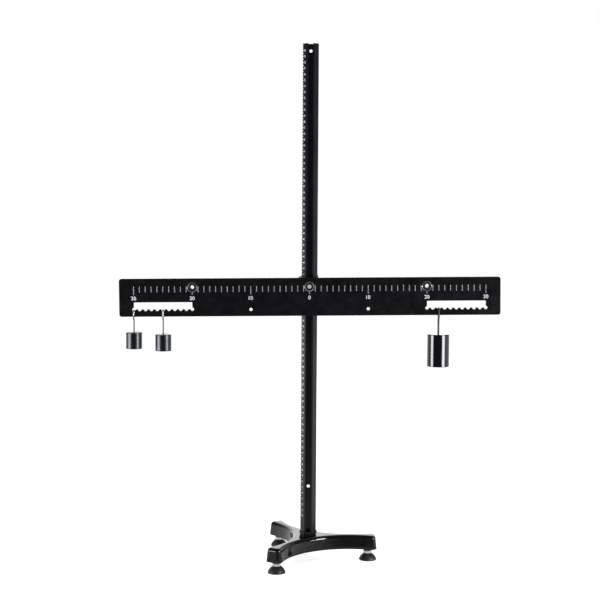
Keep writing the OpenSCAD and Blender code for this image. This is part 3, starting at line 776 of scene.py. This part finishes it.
def bent_hook(name, at, drop, wire_r, finish):
    """A wire hook that hangs at a point of the beam, its shank drop long down to the weight."""
    curve = bpy.data.curves.new(name + "_line", "CURVE")
    curve.dimensions = "3D"
    path = hook_path(drop, wire_r + HOOK_GAP)
    line = curve.splines.new("POLY")
    line.points.add(len(path) - 1)
    for point, (y, z) in zip(line.points, path):
        point.co = (*metres(at[0], at[1] + y, at[2] + z), 1.0)
    values = {"wire radius": wire_r * MM, "sides": HOOK_SIDES}
    made = grown(name, wire_tree(finish), values, put(name + "_line", curve))
    bpy.data.curves.remove(curve)
    made.data.set_sharp_from_angle(angle=math.radians(50))
    return made


def hung_weight(name, at, drop, wire_r, diameter, height, finish, bore):
    """A turned weight with softened edges; bore is None or the diameter and depth of a hollow underneath."""
    top, r, eye = -wire_r - HOOK_GAP - drop, diameter / 2, wire_r + EYE_ROOM
    low = top - height
    profile, corners = [(0.0, low)], {}
    if bore:
        bore_r, roof = bore[0] / 2, low + bore[1]
        profile, corners = [(0.0, roof), (bore_r, roof), (bore_r, low)], {2: BORE_EDGE_R}
    edge = len(profile) + 1
    corners.update({edge: WEIGHT_EDGE_R, edge + 3: WEIGHT_EDGE_R})
    profile.extend([
        (r - WEIGHT_EDGE, low), (r, low), (r, low + WEIGHT_EDGE),
        (r, top - WEIGHT_EDGE), (r, top), (r - WEIGHT_EDGE, top),
        (eye + EYE_FLARE, top), (eye, top - EYE_SINK), (eye, top - EYE_DEPTH), (0.0, top - EYE_DEPTH),
    ])
    points, faces = turned_shape(rounded(profile, corners), at)
    return new_piece(name, points, faces, finish)


# Each weight: its mark on the beam, the hook's drop, wire and finish, its own size and finish, its hollow
for label, x, drop, wire_r, wire_finish, diameter, height, finish, bore in (
    ("outer", -300, 36.0, 1.2, drawn_wire, 27.5, 28.3, black_satin, None),
    ("inner", -250, 40.0, 1.2, drawn_wire, 27.5, 28.3, black_satin, None),
    ("large", 220, 42.0, 1.7, black_wire, 37.5, 55.5, black_chrome, (24.0, 43.0)),
):
    hang = on_beam(x, NOTCH_LOW + wire_r + HOOK_GAP, BEAM_FRONT - BEAM_T / 2)
    hook = bent_hook(label + "_hook", hang, drop, wire_r, wire_finish)
    dress(hook, label + "_weight", "hook_wire", "hook_" + label)
    weight = hung_weight(label + "_mass", hang, drop, wire_r, diameter, height, finish, bore)
    dress(weight, label + "_weight", "weight_black_chrome", "weight_" + label)


# Levelling feet


def domed_pad(name, at):
    """A moulded pad: a softened sole, a flank between a dome and a cone, a neck, the stud's socket."""
    steps = 18
    flank = []
    for k in range(steps):
        share = k / steps
        a = PAD_ARC * share
        bulge = (1 - math.cos(a)) / (1 - math.cos(PAD_ARC))
        flank.append((PAD_R - (PAD_R - PAD_NECK_R) * (PAD_ROUND * bulge + (1 - PAD_ROUND) * share),
                      PAD_LIP_H + (PAD_H - PAD_LIP_H) * math.sin(a) / math.sin(PAD_ARC)))

    # The edges are softened by small offsets from the pad's own sizes
    sole = [(0.0, 0.0), (PAD_R - 1.0, 0.0), (PAD_R - 0.4, 0.06), (PAD_R - 0.1, 0.3), (PAD_R, 0.8)]
    neck = [(PAD_NECK_R + 0.25, PAD_H - 0.1), (PAD_NECK_R - 0.05, PAD_H), (PAD_NECK_R - 0.5, PAD_H)]
    socket = [(SOCKET_R + 0.25, PAD_H), (SOCKET_R, PAD_H - 0.2),
              (SOCKET_R, SOCKET_FLOOR), (0.0, SOCKET_FLOOR)]
    points, faces = turned_shape(sole + flank + neck + socket, at, steps=72)
    return new_piece(name, points, faces, pad_rubber)


thread = thread_tree(zinc)
for label, angle in FEET.items():
    spot = (FOOT_CIRCLE * math.cos(math.radians(angle)), FOOT_CIRCLE * math.sin(math.radians(angle)), 0.0)
    dress(domed_pad("pad_" + label, spot), "foot_" + label, "pad_rubber", "foot_pad_" + label)
    stud = grown("stud_" + label, thread, {
        "core radius": STUD_CORE_R * MM, "ridge": STUD_RIDGE * MM, "turns": STUD_LEN / STUD_PITCH,
        "height": STUD_LEN * MM, "middle": STUD_LEN / 2 * MM,
    })
    stud.data.transform(Matrix.Translation(metres(spot[0], spot[1], STUD_FOOT)))
    dress(stud, "foot_screw_" + label, "zinc", "foot_stud_" + label)


# Printed scales


def bars(name, tree, place, count, first, step, middle, length, width, skip=0):
    """A row of printed bars. Every skip-th one, from the first on, is left out for another row to print."""
    gap, phase = (skip, 0) if skip else (count + 1, 1)
    made = grown(name, tree, {
        "count": count, "first": first * MM, "step": step * MM, "middle": middle * MM,
        "length": length * MM, "width": width * MM, "gap": gap, "phase": phase,
    })
    made.data.transform(place)
    return made


beam_row = tick_row_tree(thin_ink)
beam_face = frame_at(
    metres(0.0, -BEAM_FRONT - INK_LIFT, PIVOT_Z),
    (math.cos(BEAM_TILT), 0.0, math.sin(BEAM_TILT)), (-math.sin(BEAM_TILT), 0.0, math.cos(BEAM_TILT)))
beam_end, ten = BEAM_SCALE_END * CENTIMETRE, 10 * CENTIMETRE


def beam_bars(name, count, first, step, top, length, skip=0):
    """A row of bars on the beam's face, hung from a height above the fulcrum."""
    made = bars(name, beam_row, beam_face, count, first, step, top - length / 2, length, BEAM_BAR_W, skip)
    dress(made, "beam", "beam_black")


# Every second ten meets a ferrule's ring, below which only the bar's end is printed
beam_bars("beam_centimetres", 2 * BEAM_SCALE_END + 1, -beam_end, CENTIMETRE,
          BEAM_BAR_TOP, BEAM_BAR_LEN, skip=10)
beam_bars("beam_tens", 4, -beam_end, 2 * ten, BEAM_BAR_TOP, BEAM_TEN_LEN)
beam_bars("beam_tens_ringed", 3, ten - beam_end, 2 * ten, BEAM_RINGED_TOP, BEAM_RINGED_LEN)
beam_marks = [(str(abs(n)), n * CENTIMETRE, BEAM_NUMBER_Y, BEAM_NUMBER_H)
              for n in range(-BEAM_SCALE_END, BEAM_SCALE_END + 1, 10)]
dress(numerals("beam_numbers", beam_marks, beam_face, ink, wide=1.0, bold=0.02), "beam", "beam_black")

# The post's scale is printed on its left bevel: numbers upright, bars along the bevel's rear edge.
post_row = tick_row_tree(ink)
bevel_normal = Vector((-BEVEL_DEPTH, -BEVEL_W, 0.0)).normalized()
bevel_edge = Vector((-POST_W / 2, BEVEL_DEPTH - POST_DEPTH / 2, SCALE_ZERO)) + bevel_normal * INK_LIFT
post_face = frame_at(metres(*bevel_edge), (BEVEL_W, -BEVEL_DEPTH, 0.0), (0.0, 0.0, 1.0))
post_side = post_face @ Matrix.Rotation(math.radians(90), 4, "Z")


def post_bars(name, count, step, skip=0):
    """A row of bars up the post's bevel, from the zero mark."""
    middle = -POST_BAR_MARGIN - POST_BAR_LEN / 2
    made = bars(name, post_row, post_side, count, 0.0, step, middle, POST_BAR_LEN, POST_BAR_W, skip)
    dress(made, "stand", "post_anodised")


post_bars("post_halves", 2 * POST_SCALE_END + 1, CENTIMETRE / 2, skip=2)
post_bars("post_centimetres", POST_SCALE_END + 1, CENTIMETRE)
post_marks = [(str(n), POST_NUMBER_X, n * CENTIMETRE, POST_NUMBER_H) for n in range(POST_SCALE_END + 1)]
dress(numerals("post_numbers", post_marks, post_face, ink, wide=0.72, bold=0.02), "stand", "post_anodised")


# Floor, light and camera


def white_floor(colour, lift):
    """A pale matt floor, lifted to white for eye and glass; gloss sees it white behind and dim in front."""
    made = bpy.data.materials.new("white_floor")
    made.use_nodes = True
    tree = made.node_tree
    new, link = tree.nodes.new, tree.links.new
    shader = tree.nodes["Principled BSDF"]
    shader.inputs["Base Color"].default_value = (*colour, 1.0)
    shader.inputs["Roughness"].default_value = 0.9
    shader.inputs["Specular IOR Level"].default_value = 0.0
    rays, seen, raised = new("ShaderNodeLightPath"), new("ShaderNodeMath"), new("ShaderNodeMath")
    seen.operation, raised.operation = "MAXIMUM", "MULTIPLY"
    link(rays.outputs["Is Camera Ray"], seen.inputs[0])
    link(rays.outputs["Is Transmission Ray"], seen.inputs[1])
    link(seen.outputs[0], raised.inputs[0])
    raised.inputs[1].default_value = lift
    glow, both = new("ShaderNodeEmission"), new("ShaderNodeAddShader")
    link(raised.outputs[0], glow.inputs["Strength"])
    link(shader.outputs["BSDF"], both.inputs[0])
    link(glow.outputs["Emission"], both.inputs[1])

    # How far behind a point of the floor lies; points to the sides count as further behind
    where, split = new("ShaderNodeTexCoord"), new("ShaderNodeSeparateXYZ")
    link(where.outputs["Object"], split.inputs["Vector"])
    aside, behind = new("ShaderNodeMath"), new("ShaderNodeMath")
    aside.operation, behind.operation = "ABSOLUTE", "MULTIPLY_ADD"
    link(split.outputs["X"], aside.inputs[0])
    link(aside.outputs[0], behind.inputs[0])
    behind.inputs[1].default_value = 0.6
    link(split.outputs["Y"], behind.inputs[2])
    fade = new("ShaderNodeMath")
    fade.operation = "ADD"
    link(ramp_between(tree, behind.outputs[0], start=-0.05, end=0.3, low=0.0, high=0.5), fade.inputs[0])
    link(ramp_between(tree, behind.outputs[0], start=-1.0, end=-0.1, low=0.1, high=0.5), fade.inputs[1])
    sheen, pick = new("ShaderNodeEmission"), new("ShaderNodeMixShader")
    link(fade.outputs[0], sheen.inputs["Strength"])
    link(rays.outputs["Is Glossy Ray"], pick.inputs["Fac"])
    link(both.outputs["Shader"], pick.inputs[1])
    link(sheen.outputs["Emission"], pick.inputs[2])
    link(pick.outputs["Shader"], tree.nodes["Material Output"].inputs["Surface"])
    return made


def studio_world(level):
    """Even light for shading; white to the eye, and to gloss white behind the object and dim in front."""
    world = bpy.data.worlds.new("studio")
    bpy.context.scene.world = world
    world.use_nodes = True
    tree = world.node_tree
    tree.nodes.clear()
    new, link = tree.nodes.new, tree.links.new
    rays, where, split = new("ShaderNodeLightPath"), new("ShaderNodeTexCoord"), new("ShaderNodeSeparateXYZ")
    link(where.outputs["Generated"], split.inputs["Vector"])
    behind = ramp_between(tree, split.outputs["Y"], start=0.1, end=0.95, low=0.05, high=1.0)
    seen = new("ShaderNodeMath")
    seen.operation = "MAXIMUM"
    link(rays.outputs["Is Camera Ray"], seen.inputs[0])
    link(rays.outputs["Is Transmission Ray"], seen.inputs[1])
    gloss, direct = new("ShaderNodeMix"), new("ShaderNodeMix")
    gloss.inputs["A"].default_value = level
    link(rays.outputs["Is Glossy Ray"], gloss.inputs["Factor"])
    link(behind, gloss.inputs["B"])
    direct.inputs["B"].default_value = 1.0
    link(seen.outputs[0], direct.inputs["Factor"])
    link(gloss.outputs["Result"], direct.inputs["A"])
    sky, out = new("ShaderNodeBackground"), new("ShaderNodeOutputWorld")
    sky.inputs["Color"].default_value = (1.0, 1.0, 1.0, 1.0)
    link(direct.outputs["Result"], sky.inputs["Strength"])
    link(sky.outputs["Background"], out.inputs["Surface"])


def soft_light(name, at, aim, width, height, power):
    """A square-cornered area lamp that the camera doesn't see."""
    data = bpy.data.lights.new(name, "AREA")
    data.shape, data.size, data.size_y, data.energy = "RECTANGLE", width, height, power
    lamp = put(name, data)
    lamp.location = at
    lamp.rotation_euler = (Vector(aim) - Vector(at)).to_track_quat("-Z", "Y").to_euler()
    lamp.visible_camera = False
    return lamp


floor_corners = [(x * FLOOR_REACH, y * FLOOR_REACH, 0.0) for x, y in ((-1, -1), (1, -1), (1, 1), (-1, 1))]
floor_mesh = bpy.data.meshes.new("floor")
floor_mesh.from_pydata(floor_corners, [], [(0, 1, 2, 3)])
floor_mesh.materials.append(white_floor((0.86, 0.86, 0.86), lift=0.70))
floor = put("floor", floor_mesh)

# The strips draw the weights' bright lines and the rim panel the rim's; the overhead light only shades.
studio_world(level=0.38)
soft_light("strip_left", at=(-1.21, -0.486, 0.23), aim=(0.0, 0.0, 0.37), width=0.71, height=0.3, power=7.8)
soft_light("strip_right", at=(1.23, -0.845, 0.23), aim=(0.0, 0.0, 0.37), width=0.65, height=0.3, power=8.4)
rim_panel = soft_light(
    "rim_panel", at=(1.18, -0.915, 0.62), aim=(0.0, 0.0, 0.5), width=0.38, height=0.48, power=15.0)
rim_panel.visible_diffuse = False
soft_light("back_panel", at=(0.0, 2.3, 1.0), aim=(0.0, 0.0, 0.4), width=3.4, height=1.8, power=16.0)
overhead = soft_light(
    "overhead", at=(0.0, -0.9, 2.5), aim=(0.0, 0.0, 0.2), width=2.2, height=2.0, power=20.0)
overhead.visible_glossy = False

camera_data = bpy.data.cameras.new("camera")
camera_data.sensor_width = SENSOR_W
camera_data.lens = SENSOR_W * FOCAL_LENGTH / IMAGE_W
camera_data.clip_start, camera_data.clip_end = 0.05, 60.0
camera = put("camera", camera_data)
heading, pitch, roll = (math.radians(a) for a in (CAMERA_HEADING, CAMERA_PITCH, CAMERA_ROLL))
level = Vector((math.cos(heading), math.sin(heading), 0.0))
ahead = Vector((-level.y * math.cos(pitch), level.x * math.cos(pitch), -math.sin(pitch)))
over = level.cross(ahead)
right = level * math.cos(roll) + over * math.sin(roll)
top = over * math.cos(roll) - level * math.sin(roll)
camera.matrix_world = frame_at(CAMERA_AT, right, top)
bpy.context.scene.camera = camera
bpy.context.scene.view_settings.view_transform = "Standard"
